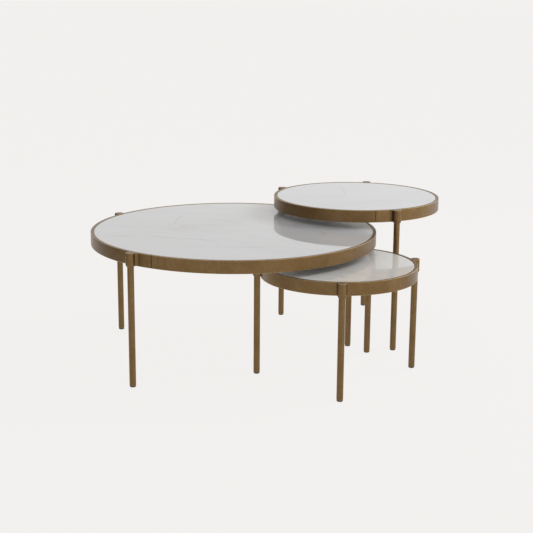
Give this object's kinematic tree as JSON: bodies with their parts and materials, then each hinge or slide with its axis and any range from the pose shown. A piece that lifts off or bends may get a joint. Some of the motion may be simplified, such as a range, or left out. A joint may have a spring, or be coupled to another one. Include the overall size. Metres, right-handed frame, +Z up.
{
  "type": "nesting tables",
  "caption": "Round nesting tables with stone tops inside rolled metal bands on slender round legs, one standing over and one under the largest.",
  "frame": {"origin": "on the floor, under the middle of the whole set's bounding box, with the tables standing as they are shown", "axes": "+Z up; +Y away from the viewer of the set's front; +X to the viewer's right"},
  "size_m": [1.1352, 1.068, 0.465],
  "materials": {
    "large_stone": "polished pale grey veined stone",
    "tall_stone": "polished pale grey veined stone",
    "small_stone": "polished pale grey veined stone",
    "bronze": "satin antique bronze",
    "frame_steel": "dull dark bronze paint",
    "under_board": "pale sealed birch board",
    "zinc": "zinc plated",
    "cushion": "clear soft bumper",
    "glide": "moulded nylon"
  },
  "bodies": {
    "large_table": {"large_band": "bronze", "large_collar_a": "bronze", "large_collar_b": "bronze", "large_collar_bolts": "zinc", "large_cross_bar_a": "frame_steel", "large_cross_bar_b": "frame_steel", "large_cross_rivet": "zinc", "large_cushion_pads": "cushion", "large_foot_glides": "glide", "large_inner_socket": "bronze", "large_ledge_ring": "frame_steel", "large_leg_a": "bronze", "large_leg_b": "bronze", "large_leg_c": "bronze", "large_panel_screws": "zinc", "large_socket_screws": "zinc", "large_splice_plate": "frame_steel", "large_splice_screws": "zinc", "large_stone_top": "large_stone", "large_under_panel": "under_board"},
    "tall_table": {"tall_band": "bronze", "tall_collar_a": "bronze", "tall_collar_b": "bronze", "tall_collar_bolts": "zinc", "tall_collar_c": "bronze", "tall_cross_bar_a": "frame_steel", "tall_cross_bar_b": "frame_steel", "tall_cross_rivet": "zinc", "tall_cushion_pads": "cushion", "tall_foot_glides": "glide", "tall_ledge_ring": "frame_steel", "tall_leg_a": "bronze", "tall_leg_b": "bronze", "tall_leg_c": "bronze", "tall_panel_screws": "zinc", "tall_splice_plate": "frame_steel", "tall_splice_screws": "zinc", "tall_stone_top": "tall_stone", "tall_under_panel": "under_board"},
    "small_table": {"small_band": "bronze", "small_collar_a": "bronze", "small_collar_b": "bronze", "small_collar_bolts": "zinc", "small_collar_c": "bronze", "small_collar_d": "bronze", "small_cross_bar_a": "frame_steel", "small_cross_bar_b": "frame_steel", "small_cross_rivet": "zinc", "small_cushion_pads": "cushion", "small_foot_glides": "glide", "small_ledge_ring": "frame_steel", "small_leg_a": "bronze", "small_leg_b": "bronze", "small_leg_c": "bronze", "small_leg_d": "bronze", "small_panel_screws": "zinc", "small_splice_plate": "frame_steel", "small_splice_screws": "zinc", "small_stone_top": "small_stone", "small_under_panel": "under_board"}
  },
  "joints": [
    {"name": "small_table_slide", "type": "slide", "parent": "large_table", "child": "small_table", "axis": [-0.8601, 0.5101, 0], "range_m": [-0.2, 0.2]},
    {"name": "tall_table_slide", "type": "slide", "parent": "large_table", "child": "tall_table", "axis": [0.8164, 0.5774, 0], "range_m": [0, 0.25]}
  ]
}
